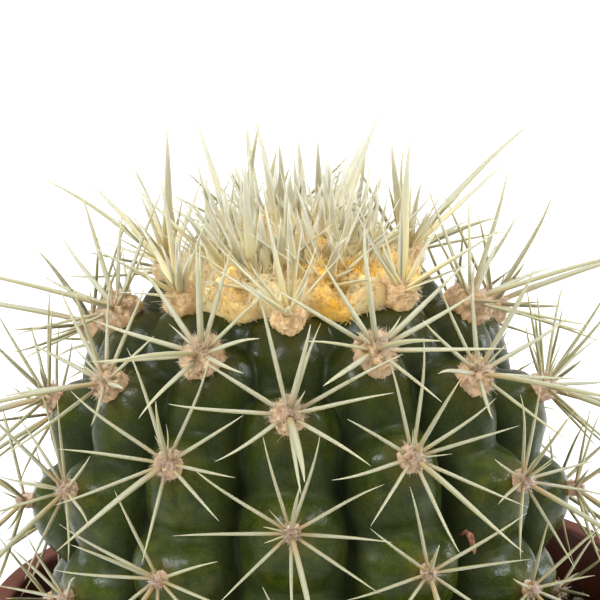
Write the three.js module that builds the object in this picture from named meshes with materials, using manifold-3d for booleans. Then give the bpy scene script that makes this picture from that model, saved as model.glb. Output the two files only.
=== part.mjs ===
// A potted round cactus, in millimetres, +Z up. The origin is the centre of the pot's underside, where it
// stands on a table. The front of the plant faces -Y and +X is to its right.
//
// The pot is a plain moulded one, the soil fills it, and the cactus stands in a plain hole in the soil.
// The body is one ribbed solid. Each areole is a felt pad with its spray of spines, and the crown is the
// woolly top with the youngest spines. Spines that would touch another spray are turned until they are clear.
import * as THREE from "three";
import { mergeVertices } from "three/addons/utils/BufferGeometryUtils.js";
import Module from "manifold-3d";

const wasm = await Module();
wasm.setup();

// ---------- driving dimensions ----------
const SEAT_GAP = 0.35; // between pieces that lie against each other

const POT_HEIGHT = 96;
const POT_BASE_R = 43; // outside
const POT_RIM_R = 60; // outside of the rolled lip
const POT_WALL = 1.8;
const POT_LIP = 2.2; // how far the lip stands out from the wall
const POT_LIP_HEIGHT = 3.4;
const POT_SIDES = 40;
const DRAIN_HOLES = 5;
const DRAIN_R = 3.5;
const DRAIN_RING_R = 27;

const SOIL_TOP = 86; // about 10 mm under the rim
const SOIL_MOUND = 1.2;

const PLANT_X = -3; // the plant stands a little left of the pot's middle
const EQUATOR_Z = 113.5; // its widest height
const BODY_R = 47.4; // to the tips of the tubercles
const BODY_UP = 47; // equator to the top
const BODY_DOWN = 38; // equator to where the underside would close
const SHOULDER = 2.15; // superellipse exponent: over 2 is fuller than an ellipse
const COLLAR_R = 15;
const COLLAR_DEPTH = 11; // root collar under the soil's surface

const RIBS = 13;
const FRONT_RIB = THREE.MathUtils.degToRad(-92.3);
const STEP = 19.1; // between areoles along a rib
const ROW_ORIGIN = 0.7; // height of the front rib's areole above the equator, in steps
const RIB_SHIFT = 0.477; // how much lower each next rib's areoles sit, in steps
const LOWEST_ROW = -1.15; // in steps from the equator
const CROWN_ROW = 2.6; // from here up the areoles are part of the crown
const HIGHEST_ROW = 3.6;
const CREASE_AT = 0.33; // crease above an areole, in steps
const CREASE_DEPTH = 4.6;
const GROOVE_DEPTH = 9.5; // between ribs on the shoulder
const EQUATOR_GROOVE = 0.62; // of that depth, from the equator down
const GROOVE_DEEPENS = [2, 24]; // between these lengths above the equator
const RIBS_FADE = [18, 32]; // between these lengths below it, towards the soil
const FADED_RIBS = 0.4; // of their depth at the soil
const GROOVE_HALF = (Math.PI * BODY_R) / RIBS;
const CROWN_FROM = 49; // along the rib from the equator, where the wool begins to cover the body
const CROWN_TO = 57;
const CROWN_SUNK = 2.5; // how far the body lies under its outline there

const SPINE_CLEARANCE = 0.3;
const LEAST_RISE = 8; // degrees from the skin
const MOST_RISE = 84;
const SEED = 20617;

// ---------- small helpers ----------
const { lerp, clamp, smoothstep, degToRad } = THREE.MathUtils;

let randomState = SEED;
function draw() {
  randomState = (Math.imul(randomState, 1664525) + 1013904223) >>> 0;
  return randomState / 2 ** 32;
}
const spread = (width) => (2 * draw() - 1) * width;

// A closed geometry as a solid that can be joined and cut.
function solidOf(geometry) {
  const bare = geometry.clone();
  bare.deleteAttribute("normal");
  bare.deleteAttribute("uv");
  const merged = mergeVertices(bare, 1e-4);
  return new wasm.Manifold(
    new wasm.Mesh({
      numProp: 3,
      vertProperties: merged.attributes.position.array,
      triVerts: new Uint32Array(merged.index.array),
    }),
  );
}

function geometryOf(solid) {
  const mesh = solid.getMesh();
  return new THREE.BufferGeometry()
    .setAttribute("position", new THREE.BufferAttribute(mesh.vertProperties, 3))
    .setIndex(new THREE.BufferAttribute(mesh.triVerts, 1));
}

function revolve(profile, sides) {
  const points = profile.map(([r, z]) => new THREE.Vector2(r, z));
  return new THREE.LatheGeometry(points, sides).rotateX(Math.PI / 2);
}

const cactus = new THREE.Group();

function addMesh(name, geometry, material) {
  const mesh = new THREE.Mesh(geometry, material);
  mesh.name = name;
  cactus.add(mesh);
}

const paint = (color, roughness) => new THREE.MeshStandardMaterial({ color, roughness, metalness: 0 });
const POT_PLASTIC = paint(0x7f5140, 0.5);
const PEAT = paint(0x2b1a12, 0.95);
const SKIN = paint(0x33451c, 0.35);
const SPINES_AND_FELT = paint(0xddd3b4, 0.6);
const CROWN_WOOL = paint(0xe3cb92, 0.8);

// ---------- pot ----------
const potWallOut = (z) => lerp(POT_BASE_R, POT_RIM_R - POT_LIP, z / POT_HEIGHT);
const potWallIn = (z) => potWallOut(z) - POT_WALL;

function pot() {
  const lipUnder = POT_HEIGHT - POT_LIP_HEIGHT;
  const shell = revolve(
    [
      [0, 0],
      [POT_BASE_R - 1.2, 0],
      [potWallOut(1.2), 1.2],
      [potWallOut(lipUnder), lipUnder],
      [POT_RIM_R - 0.7, lipUnder + 0.3],
      [POT_RIM_R, lipUnder + 1.2],
      [POT_RIM_R, POT_HEIGHT - 1],
      [POT_RIM_R - 0.9, POT_HEIGHT],
      [potWallIn(POT_HEIGHT) + 0.6, POT_HEIGHT],
      [potWallIn(POT_HEIGHT - 1), POT_HEIGHT - 1],
      [potWallIn(POT_WALL + 1.2), POT_WALL + 1.2],
      [potWallIn(POT_WALL) - 1.2, POT_WALL],
      [0, POT_WALL],
    ],
    POT_SIDES,
  );
  let solid = solidOf(shell);
  for (let i = 0; i < DRAIN_HOLES; i++) {
    const angle = (2 * Math.PI * i) / DRAIN_HOLES;
    const drill = new THREE.CylinderGeometry(DRAIN_R, DRAIN_R, 3 * POT_WALL, 12).rotateX(Math.PI / 2);
    drill.translate(DRAIN_RING_R * Math.cos(angle), DRAIN_RING_R * Math.sin(angle), POT_WALL / 2);
    solid = solid.subtract(solidOf(drill));
  }
  addMesh("pot", geometryOf(solid), POT_PLASTIC);
}

// ---------- outline of the plant ----------
// The outline that the tubercle tips touch, as points from the underside to the top with the length along it.
const outline = [];
{
  const degrees = 0.5;
  for (let t = -80; t <= 90; t += degrees) {
    const c = Math.max(Math.cos(degToRad(t)), 0);
    const s = Math.sin(degToRad(Math.abs(t)));
    const z = t < 0 ? -BODY_DOWN * s : BODY_UP * s ** (2 / SHOULDER);
    const r = BODY_R * (t < 0 ? c : c ** (2 / SHOULDER));
    const last = outline.at(-1);
    outline.push({ r, z, length: last ? last.length + Math.hypot(r - last.r, z - last.z) : 0 });
  }
  const equator = outline.find((p) => p.z >= 0).length;
  for (const p of outline) p.length -= equator;
}
const OUTLINE_TOP = outline.at(-1).length;

// The outline's radius, height and outward normal at a length along it from the equator.
function outlineAt(length) {
  let i = outline.findIndex((p) => p.length > length);
  i = clamp(i < 0 ? outline.length - 1 : i, 1, outline.length - 1);
  const [a, b] = [outline[i - 1], outline[i]];
  const f = clamp((length - a.length) / (b.length - a.length), 0, 1);
  const [dr, dz] = [b.r - a.r, b.z - a.z];
  const size = Math.hypot(dr, dz);
  return { r: lerp(a.r, b.r, f), z: lerp(a.z, b.z, f), nr: dz / size, nz: -dr / size };
}

// A point at an angle round the plant and a length along its outline, lifted out along the normal.
function plantPoint(angle, length, lift) {
  const at = outlineAt(length);
  const r = at.r + at.nr * lift;
  return new THREE.Vector3(
    PLANT_X + r * Math.cos(angle),
    r * Math.sin(angle),
    EQUATOR_Z + at.z + at.nz * lift,
  );
}

// ---------- ribs and areoles ----------
// Ribs are numbered from the front one, 0, to 6 on the right and -6 on the left. The areoles of a rib sit
// about half a step lower than on the rib before it. The rib count is odd, so the back takes up the rest.
function ribOrigin(rib) {
  const backDrift = 0.04 * Math.max(rib - 3, 0) + 0.1 * Math.min(rib + 3, 0);
  return ROW_ORIGIN - RIB_SHIFT * Math.abs(rib) + backDrift;
}
const ribAngle = (rib) => FRONT_RIB + (2 * Math.PI * rib) / RIBS;
const HALF_RIBS = (RIBS - 1) / 2;

function areoleAt(rib, u) {
  const angle = ribAngle(rib);
  const length = STEP * u;
  const at = outlineAt(length);
  const normal = new THREE.Vector3(at.nr * Math.cos(angle), at.nr * Math.sin(angle), at.nz);
  const right = new THREE.Vector3(-Math.sin(angle), Math.cos(angle), 0);
  const up = new THREE.Vector3().crossVectors(normal, right);
  const age = clamp((CROWN_ROW - u) / (CROWN_ROW - LOWEST_ROW), 0, 1); // 0 by the crown, 1 by the soil
  return { angle, length, normal, right, up, age, spines: [] };
}

const padRadius = (areole) => Math.max(4.7 - 5.6 * areole.age, 1.6);
const padHeight = (areole) => lerp(3.6, 1.7, areole.age);

// How deep the crown's wool has sunk into the outline.
const crownDip = (length) => CROWN_SUNK * smoothstep(length, CROWN_FROM, CROWN_TO);

const areoles = [];
const crownAreoles = [];
for (let rib = -HALF_RIBS; rib <= HALF_RIBS; rib++) {
  const number = String(rib < 0 ? rib + RIBS + 1 : rib + 1).padStart(2, "0");
  const origin = ribOrigin(rib);
  const lowest = origin + Math.ceil(LOWEST_ROW - origin);
  for (let u = lowest, row = 1; u < HIGHEST_ROW; u++, row++) {
    const inCrown = u > CROWN_ROW;
    const areole = areoleAt(rib, u);
    areole.node = inCrown ? "crown" : `areole_rib${number}_row${row}`;
    const seat = SEAT_GAP - crownDip(areole.length - padRadius(areole));
    areole.pad = plantPoint(areole.angle, areole.length, seat);
    (inCrown ? crownAreoles : areoles).push(areole);
  }
}

// ---------- body ----------
// How far the skin lies under the outline. Each tubercle is a lobe, and the skin is the highest of the lobes,
// so lobes on a rib meet in a crease and ribs meet in a groove. The grooves are shallower round the equator.
function skinDepth(angle, u, length, radius) {
  const grooveDepth = GROOVE_DEPTH * lerp(EQUATOR_GROOVE, 1, smoothstep(length, ...GROOVE_DEEPENS));
  let depth = Infinity;
  for (let rib = -HALF_RIBS; rib <= HALF_RIBS; rib++) {
    const turn = Math.atan2(Math.sin(angle - ribAngle(rib)), Math.cos(angle - ribAngle(rib)));
    if (Math.abs(turn) > (2.2 * Math.PI) / RIBS) continue;
    const across = grooveDepth * Math.abs((radius * turn) / GROOVE_HALF) ** 1.9;
    const steps = u - ribOrigin(rib);
    const above = steps - Math.floor(steps);
    const along = Math.min((above / CREASE_AT) ** 2, ((1 - above) / (1 - CREASE_AT)) ** 1.8);
    depth = Math.min(depth, across + CREASE_DEPTH * along);
  }
  const low = lerp(1, FADED_RIBS, smoothstep(-length, ...RIBS_FADE));
  return lerp(depth * low, CROWN_SUNK, crownDip(length) / CROWN_SUNK);
}

const COLUMNS_PER_RIB = 6;
const ROW_FRACTIONS = [0, 0.17, CREASE_AT, 0.66]; // a tubercle's tip, top, crease and flank, in steps

// A rib's own shift of the grid rows, so that a grid point lies on each areole.
function gridShift(column) {
  const at = column / COLUMNS_PER_RIB - HALF_RIBS;
  const rib = Math.floor(at);
  const wrap = (k) => (k > HALF_RIBS ? k - RIBS : k);
  const shiftOf = (k) => ribOrigin(wrap(k)) - Math.round(ribOrigin(wrap(k)));
  return lerp(shiftOf(rib), shiftOf(rib + 1), smoothstep(at - rib, 0, 1));
}

function cactusBody() {
  const soilLength = outline.find((p) => p.z > SOIL_TOP - EQUATOR_Z).length;
  const lowest = soilLength / STEP;
  const highest = 3.75;
  const levels = [];
  for (let whole = -2; whole <= 3; whole++)
    for (const fraction of ROW_FRACTIONS)
      if (whole + fraction > lowest + 0.1 && whole + fraction < highest) levels.push(whole + fraction);
  const columns = RIBS * COLUMNS_PER_RIB;
  const rings = [];
  const ring = (point) => rings.push(Array.from({ length: columns }, (_, c) => point(c)));
  const angleOf = (c) => ribAngle(c / COLUMNS_PER_RIB - HALF_RIBS);
  const collar = (r, z) => (c) =>
    new THREE.Vector3(PLANT_X + r * Math.cos(angleOf(c)), r * Math.sin(angleOf(c)), z);
  const skin = (v, shifted) => (c) => {
    const u = v + shifted * gridShift(c);
    const length = Math.max(STEP * u, soilLength);
    const depth = skinDepth(angleOf(c), u, length, outlineAt(length).r);
    return plantPoint(angleOf(c), length, -depth);
  };
  ring(collar(COLLAR_R * 0.7, SOIL_TOP - COLLAR_DEPTH));
  ring(collar(COLLAR_R, SOIL_TOP - COLLAR_DEPTH + 3));
  ring(skin(lowest, 0));
  for (const v of levels) {
    const shifted = smoothstep(v, lowest, lowest + 0.6) * (1 - smoothstep(v, 2.9, highest));
    ring(skin(v, shifted));
  }
  const positions = rings.flat().flatMap((p) => p.toArray());
  const index = [];
  for (let r = 0; r + 1 < rings.length; r++)
    for (let c = 0; c < columns; c++) {
      const [a, b] = [r * columns + c, r * columns + ((c + 1) % columns)];
      index.push(a, b, b + columns, a, b + columns, a + columns);
    }
  const bottom = positions.length / 3;
  positions.push(PLANT_X, 0, SOIL_TOP - COLLAR_DEPTH);
  positions.push(...plantPoint(0, OUTLINE_TOP, -CROWN_SUNK).toArray());
  const lastRing = (rings.length - 1) * columns;
  for (let c = 0; c < columns; c++) {
    const next = (c + 1) % columns;
    index.push(bottom, next, c, bottom + 1, lastRing + c, lastRing + next);
  }
  const body = new THREE.BufferGeometry()
    .setAttribute("position", new THREE.Float32BufferAttribute(positions, 3))
    .setIndex(index);
  addMesh("cactus_body", body, SKIN);
}

// ---------- soil ----------
function soil() {
  const surface = SOIL_TOP + SOIL_MOUND;
  const holeR = outline.find((p) => p.z > surface - EQUATOR_Z).r + 3 * SEAT_GAP;
  const inside = (z) => potWallIn(z) - SEAT_GAP;
  const floor = POT_WALL + SEAT_GAP;
  const plug = revolve(
    [
      [0, floor],
      [inside(floor) - 1.4, floor],
      [inside(SOIL_TOP - 1), SOIL_TOP - 1],
      [POT_BASE_R, SOIL_TOP],
      [holeR + 3, surface],
      [0, surface],
    ],
    POT_SIDES,
  );
  const hole = revolve(
    [
      [0, SOIL_TOP - COLLAR_DEPTH - SEAT_GAP],
      [COLLAR_R * 0.7 + SEAT_GAP, SOIL_TOP - COLLAR_DEPTH - SEAT_GAP],
      [COLLAR_R + 1, SOIL_TOP - COLLAR_DEPTH + 3 - 2 * SEAT_GAP],
      [holeR - 1.5, SOIL_TOP - 0.5],
      [holeR, surface],
      [holeR, surface + 1],
      [0, surface + 1],
    ],
    POT_SIDES,
  ).translate(PLANT_X, 0, 0);
  addMesh("soil", geometryOf(solidOf(plug).subtract(solidOf(hole))), PEAT);
}

// ---------- spines ----------
// Where a spine leaves its pad, in degrees from straight up and clockwise as seen from outside.
const RADIAL_DIRECTIONS = [-18, 17, -57, 59, -91, 89, -127, 125, 179];
const THIN_RADIAL = 17; // the lowest areoles have lost this one
const ROOT_HEIGHT = 0.3; // of a spine's root in its pad, as a part of the pad's height

// One planned spine: its direction round the pad, its rise from the skin, its length, its thickness at the
// root and how far its tip bows down from straight.
function planSpine(areole, kind, direction, rise, length, thickness, bow) {
  return { areole, kind, direction, rise, length, thickness, bow };
}

function planSpines(areole) {
  const plan = [];
  const add = (...spine) => plan.push(planSpine(areole, ...spine));
  const young = 1 - areole.age;
  const mainRise = lerp(38, 62, young) + spread(7);
  add("central", 180 + spread(24), mainRise, lerp(25, 34, young) * (1 + spread(0.14)), 0.78, 3.2);
  const side = draw() < 0.5 ? -1 : 1;
  const second = [side * (28 + spread(18)), lerp(48, 66, young) + spread(6), 21 + spread(4), 0.62, 0];
  if (areole.age < 0.75) add("central", ...second);
  for (const direction of RADIAL_DIRECTIONS) {
    if (areole.age > 0.6 && direction === THIN_RADIAL) continue;
    const rise = lerp(36, 12, areole.age ** 0.45) + spread(4);
    const length = lerp(21, 15.5, areole.age) * (1 + spread(0.16));
    add("radial", direction + spread(7), rise, length, 0.5, 0);
  }
  return plan;
}

// The line of a spine, as root, middle and tip. A main spine bows down towards its tip.
function spineLine(spine) {
  const { areole, length, bow } = spine;
  const turn = degToRad(spine.direction);
  const rise = degToRad(spine.rise);
  const aim = areole.up
    .clone()
    .multiplyScalar(Math.cos(turn))
    .addScaledVector(areole.right, Math.sin(turn))
    .multiplyScalar(Math.cos(rise))
    .addScaledVector(areole.normal, Math.sin(rise));
  const root = areole.pad.clone().addScaledVector(areole.normal, ROOT_HEIGHT * padHeight(areole));
  const at = (part) =>
    root
      .clone()
      .addScaledVector(aim, length * part)
      .addScaledVector(areole.up, -bow * part * part);
  return [root, at(0.5), at(1)];
}

const spineRadius = (spine, part) => spine.thickness * (1 - part);

// The closest distance between two stretches, and how far along each it lies.
function closest(p, q, r, s) {
  const [d1, d2, w] = [q.clone().sub(p), s.clone().sub(r), p.clone().sub(r)];
  const [a, e, f, c, b] = [d1.dot(d1), d2.dot(d2), d2.dot(w), d1.dot(w), d1.dot(d2)];
  const denominator = a * e - b * b;
  let t = denominator > 1e-9 ? clamp((b * f - c * e) / denominator, 0, 1) : 0;
  const v = clamp((b * t + f) / e, 0, 1);
  t = clamp((b * v - c) / a, 0, 1);
  const gap = p.clone().addScaledVector(d1, t).distanceTo(r.clone().addScaledVector(d2, v));
  return { gap, t, v };
}

// The room that a spine has to the pot, the soil and the body.
const RIM_MIDDLE_R = POT_RIM_R - POT_LIP + 0.2;
const RIM_HALF = 2.6;
function roomInPot(spine, line) {
  let least = Infinity;
  for (let part = 0.25; part <= 1; part += 0.125) {
    const half = part <= 0.5 ? 0 : 1;
    const { x, y, z } = line[half].clone().lerp(line[half + 1], 2 * part - half);
    const height = z - EQUATOR_Z;
    const outwards = Math.hypot(
      Math.hypot(x - PLANT_X, y) / BODY_R,
      height / (height > 0 ? BODY_UP : BODY_DOWN),
    );
    const toBody = (outwards - 1) * BODY_DOWN;
    const toSoil = z - SOIL_TOP - SOIL_MOUND;
    const toRim = z < POT_HEIGHT + 1 ? Math.abs(Math.hypot(x, y) - RIM_MIDDLE_R) - RIM_HALF : Infinity;
    least = Math.min(least, Math.min(toBody, toSoil, toRim) - spineRadius(spine, part));
  }
  return least;
}

// The room that a spine has to everything: also the sprays placed before it and the pads.
const PAD_MARGIN = 0.8;
function room(spine, line, placed, pads) {
  let least = roomInPot(spine, line);
  for (const other of placed) {
    if (other.spine.areole.node === spine.areole.node) continue;
    const reach = (spine.length + other.spine.length) / 2 + 6;
    if (other.line[1].distanceTo(line[1]) > reach) continue;
    for (let i = 0; i < 2; i++)
      for (let j = 0; j < 2; j++) {
        const { gap, t, v } = closest(line[i], line[i + 1], other.line[j], other.line[j + 1]);
        const thick = spineRadius(spine, (i + t) / 2) + spineRadius(other.spine, (j + v) / 2);
        least = Math.min(least, gap - thick);
      }
  }
  for (const pad of pads) {
    if (pad.node === spine.areole.node) continue;
    for (let i = 0; i < 2; i++) {
      const { gap } = closest(line[i], line[i + 1], pad.pad, pad.top);
      least = Math.min(least, gap - padRadius(pad) - PAD_MARGIN);
    }
  }
  return least;
}

// The changes that a spine may take to be clear, in the order they are tried: shorter comes last.
const RISES = [0, 3, -3, 6, 9, -6, 13, 17, 22, 28];
const TURNS = [0, 4, -4, 8, -8, 13, -13];
const SIZES = [1, 0.85, 0.7, 0.55];
const changes = SIZES.flatMap((size) => RISES.flatMap((rise) => TURNS.map((turn) => [size, rise, turn])));

// Places each planned spine with the first change that leaves it clear of what is placed already.
function placeSpines(plans, pads) {
  const placed = [];
  for (const plan of plans) {
    for (const [size, rise, turn] of changes) {
      const spine = {
        ...plan,
        rise: clamp(plan.rise + rise, LEAST_RISE, MOST_RISE),
        direction: plan.direction + turn,
        length: plan.length * size,
        bow: plan.bow * size,
      };
      const line = spineLine(spine);
      if (room(spine, line, placed, pads) < SPINE_CLEARANCE) continue;
      placed.push({ spine, line });
      spine.areole.spines.push({ spine, line });
      break;
    }
  }
}

// A three-sided needle from root to tip through the middle of its line.
function needle({ spine, line }) {
  const [root, middle, tip] = line;
  const along = tip.clone().sub(root);
  const bent = spine.bow > 1;
  const cone = new THREE.ConeGeometry(spine.thickness, 1, 3, bent ? 2 : 1).translate(0, 0.5, 0);
  const upright = new THREE.Vector3(0, 1, 0);
  const turn = new THREE.Quaternion().setFromUnitVectors(upright, along.clone().normalize());
  cone.scale(1, along.length(), 1).applyQuaternion(turn).translate(root.x, root.y, root.z);
  if (!bent) return solidOf(cone);
  const bow = middle.clone().sub(root.clone().lerp(tip, 0.5));
  const position = cone.attributes.position;
  const halfway = along.length() / 2;
  for (let i = 0; i < position.count; i++) {
    const p = new THREE.Vector3().fromBufferAttribute(position, i);
    const part = p.clone().sub(root).dot(along) / along.length() / halfway;
    p.addScaledVector(bow, clamp(1 - Math.abs(part - 1), 0, 1));
    position.setXYZ(i, p.x, p.y, p.z);
  }
  return solidOf(cone);
}

// A felt pad: a dome with a flat underside on the tip of its tubercle.
const PAD_SIDES = 6;
function feltPad(areole) {
  const [r, h] = [padRadius(areole), padHeight(areole)];
  const dome = revolve(
    [
      [0, 0],
      [r, 0],
      [r * 0.8, h * 0.75],
      [0, h],
    ],
    PAD_SIDES,
  );
  const turn = new THREE.Matrix4().makeBasis(areole.right, areole.up, areole.normal);
  dome.applyMatrix4(turn.setPosition(areole.pad));
  return solidOf(dome);
}

const united = (solids) => solids.reduce((all, one) => all.add(one));

// ---------- crown ----------
const CROWN_EDGE = 54.5; // along the outline from the equator
const CROWN_RISE = 4.5; // of the wool over the outline, in the middle
const CROWN_CENTRE_SPINES = 42;
const CROWN_CENTRE_R = 15; // that they stand on

function crownWool() {
  const profile = [];
  const bottomLift = (length) => SEAT_GAP - crownDip(length - 1);
  const topLift = (length) => lerp(1, CROWN_RISE, smoothstep(length, CROWN_EDGE, OUTLINE_TOP));
  const at = (length, lift) => {
    const o = outlineAt(length);
    return [Math.max(o.r + o.nr * lift, 0), EQUATOR_Z + o.z + o.nz * lift];
  };
  const lengths = [OUTLINE_TOP, 69, 63, 59, CROWN_EDGE];
  for (const length of lengths) profile.push(at(length, bottomLift(length)));
  for (const length of lengths.toReversed()) profile.push(at(length, topLift(length)));
  profile[0][0] = 0;
  profile[profile.length - 1][0] = 0;
  return solidOf(revolve(profile, 26).translate(PLANT_X, 0, 0));
}

// The crown's young spines: a spray on each areole that merges in the wool, and upright ones between them.
function planCrownSpines(areole) {
  const plan = [];
  const add = (...spine) => plan.push(planSpine(areole, ...spine));
  add("central", 180 + spread(30), 62 + spread(8), 25 + spread(4), 0.95, 1.2);
  add("central", spread(30), 64 + spread(8), 23 + spread(6), 0.95, 0);
  for (const direction of [-72, 75, 165])
    add("radial", direction + spread(20), 42 + spread(9), 17 + spread(3), 0.6, 0);
  return plan;
}

// A place on the wool for a single young spine, laid out as the seeds of a sunflower are.
const GOLDEN_ANGLE = degToRad(137.5);
function centrePlace(i) {
  const part = Math.sqrt((i + 0.5) / CROWN_CENTRE_SPINES);
  const angle = i * GOLDEN_ANGLE;
  const lean = 0.45 * part; // outwards
  const normal = new THREE.Vector3(lean * Math.cos(angle), lean * Math.sin(angle), 1).normalize();
  const right = new THREE.Vector3(-Math.sin(angle), Math.cos(angle), 0);
  const up = new THREE.Vector3().crossVectors(normal, right);
  const pad = plantPoint(angle, OUTLINE_TOP - CROWN_CENTRE_R * part, 0);
  return { normal, right, up, pad, age: 0, node: "crown", spines: [] };
}

function planCentreSpine(place) {
  return planSpine(place, "young", spread(180), 78 + spread(8), 14 + spread(5), 0.85, 0);
}

// ---------- assembly ----------
pot();
soil();
cactusBody();

const centrePlaces = Array.from({ length: CROWN_CENTRE_SPINES }, (_, i) => centrePlace(i));
for (const areole of [...areoles, ...crownAreoles])
  areole.top = areole.pad.clone().addScaledVector(areole.normal, padHeight(areole) * 0.6);

const plans = [
  ...areoles.flatMap(planSpines),
  ...crownAreoles.flatMap(planCrownSpines),
  ...centrePlaces.map(planCentreSpine),
];
const kindOrder = ["central", "young", "radial"];
plans.sort((a, b) => kindOrder.indexOf(a.kind) - kindOrder.indexOf(b.kind));
placeSpines(plans, [...areoles, ...crownAreoles]);

for (const areole of areoles)
  addMesh(areole.node, geometryOf(united([feltPad(areole), ...areole.spines.map(needle)])), SPINES_AND_FELT);

const crownPads = crownAreoles.map(feltPad);
const crownSpines = [...crownAreoles, ...centrePlaces].flatMap((areole) => areole.spines.map(needle));
addMesh("crown", geometryOf(united([crownWool(), ...crownPads, ...crownSpines])), CROWN_WOOL);

export default cactus;
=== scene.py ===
# A potted round cactus, finished for rendering. Every piece stands where its solid stands in the packed
# model: the front of the plant faces -Y, +X is to its right and +Z is up.
#
# Shapes are worked out in millimetres with numpy and turned into metres when a mesh is made.
import math

import bpy
import numpy as np
from mathutils import Matrix, Vector


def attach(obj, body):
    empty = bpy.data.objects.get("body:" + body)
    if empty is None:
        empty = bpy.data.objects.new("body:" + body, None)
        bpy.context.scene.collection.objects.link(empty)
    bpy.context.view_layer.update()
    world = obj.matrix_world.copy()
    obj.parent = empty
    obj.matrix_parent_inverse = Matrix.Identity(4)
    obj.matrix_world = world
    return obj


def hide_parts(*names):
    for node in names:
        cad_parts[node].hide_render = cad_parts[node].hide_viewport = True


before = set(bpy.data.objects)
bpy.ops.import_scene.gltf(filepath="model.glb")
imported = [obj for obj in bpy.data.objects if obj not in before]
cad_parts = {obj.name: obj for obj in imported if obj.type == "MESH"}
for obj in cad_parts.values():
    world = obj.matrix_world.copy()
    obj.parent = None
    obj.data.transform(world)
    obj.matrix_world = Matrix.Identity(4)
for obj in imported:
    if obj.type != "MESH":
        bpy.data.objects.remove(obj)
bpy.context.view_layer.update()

MM = 0.001  # in metres

# ---- driving dimensions, the same as the solid model's ----
POT_HEIGHT = 96
POT_BASE_R = 43
POT_RIM_R = 60
POT_WALL = 1.8
POT_LIP = 2.2  # how far it stands out
POT_LIP_HEIGHT = 3.4
DRAIN_HOLES = 5
DRAIN_R = 3.5
DRAIN_RING_R = 27

SOIL_TOP = 86
PLANT_X = -3  # from the pot's middle
EQUATOR_Z = 113.5  # its widest height
BODY_R = 47.4  # to the tips of the tubercles
BODY_UP = 47
BODY_DOWN = 38  # to where the underside would close
SHOULDER = 2.15  # superellipse exponent: over 2 is fuller than an ellipse
COLLAR_R = 15
COLLAR_DEPTH = 11  # under the soil's surface

RIBS = 13
FRONT_RIB = math.radians(-92.3)
STEP = 19.1  # between areoles along a rib
ROW_ORIGIN = 0.7  # height of the front rib's areole above the equator, in steps
RIB_SHIFT = 0.477  # how much lower each next rib's areoles sit, in steps
BACK_FROM = 3  # the ribs past this one drift from that
RIGHT_DRIFT = 0.04  # up, for each rib
LEFT_DRIFT = 0.1  # down
LOWEST_ROW = -1.15  # in steps from the equator
CROWN_ROW = 2.6  # from here up the areoles are part of the crown
HIGHEST_ROW = 3.6
CREASE_AT = 0.33  # crease above an areole, in steps
CREASE_DEPTH = 4.6
GROOVE_DEPTH = 9.5
EQUATOR_GROOVE = 0.62  # of that depth, from the equator down
GROOVE_DEEPENS = (2, 24)  # between these lengths above the equator
RIBS_FADE = (18, 32)  # between these lengths below it, towards the soil
FADED_RIBS = 0.4  # of their depth at the soil
GROOVE_HALF = math.pi * BODY_R / RIBS
CROWN_FROM = 49  # along the rib, where the body begins to dip under the wool
CROWN_TO = 57
CROWN_SUNK = 2.5
CROWN_EDGE = 54.5  # along the rib, where the wool ends
CROWN_RISE = 4.5  # of its middle over the outline
CROWN_CENTRE_SPINES = 42
CROWN_CENTRE_R = 15
YOUNG_PAD_R = 4.7
PAD_SHRINKS = 5.6  # by the age of 1
LEAST_PAD_R = 1.6
YOUNG_PAD_HEIGHT = 3.6
OLD_PAD_HEIGHT = 1.7
ROOT_HEIGHT = 0.3  # of a spine's root, as a part of its pad's height
SEAT_GAP = 0.35  # between pieces that lie against each other

SEED = 7341
rng = np.random.default_rng(SEED)

# ---- small helpers ----
FAR = 99.0  # more than any distance it is compared with
WAVES = 14
WAVE_STRETCH = (0.7, 1.5)
WAVE_PEAK = 1.6  # the usual peak of a sum of waves, over its root mean square


def smoothstep(x, low, high):
    t = np.clip((x - low) / (high - low), 0, 1)
    return t * t * (3 - 2 * t)


def lerp(a, b, t):
    return a + (b - a) * t


def unit(v):
    return v / np.maximum(np.linalg.norm(v, axis=-1, keepdims=True), 1e-9)


def polar(radius, angle, z):
    """Points at these distances from the Z axis, directions round it and heights."""
    return np.stack(np.broadcast_arrays(radius * np.cos(angle), radius * np.sin(angle), z), -1)


def round_angles(count):
    return np.arange(count) * 2 * math.pi / count


def add_object(name, data):
    thing = bpy.data.objects.new(name, data)
    bpy.context.scene.collection.objects.link(thing)
    return thing


def wobble(points, size, seed):
    """Smooth random values from about -1 to 1 at points, with features of about this size."""
    dice = np.random.default_rng(seed)
    directions = unit(dice.normal(size=(WAVES, 3)))
    stretches = dice.uniform(*WAVE_STRETCH, WAVES)
    phases = dice.uniform(0, 2 * math.pi, WAVES)
    value = np.zeros(points.shape[:-1])
    for direction, stretch, phase in zip(directions, stretches, phases):
        value += np.sin(points @ direction * (math.pi / size * stretch) + phase)
    return value * math.sqrt(2 / WAVES) / WAVE_PEAK


def lumps(points, layers, seed):
    """Lumps in layers, each a height and a size in mm. The seeds count up from this one."""
    return sum(high * wobble(points, size, seed + i) for i, (high, size) in enumerate(layers))


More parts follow.
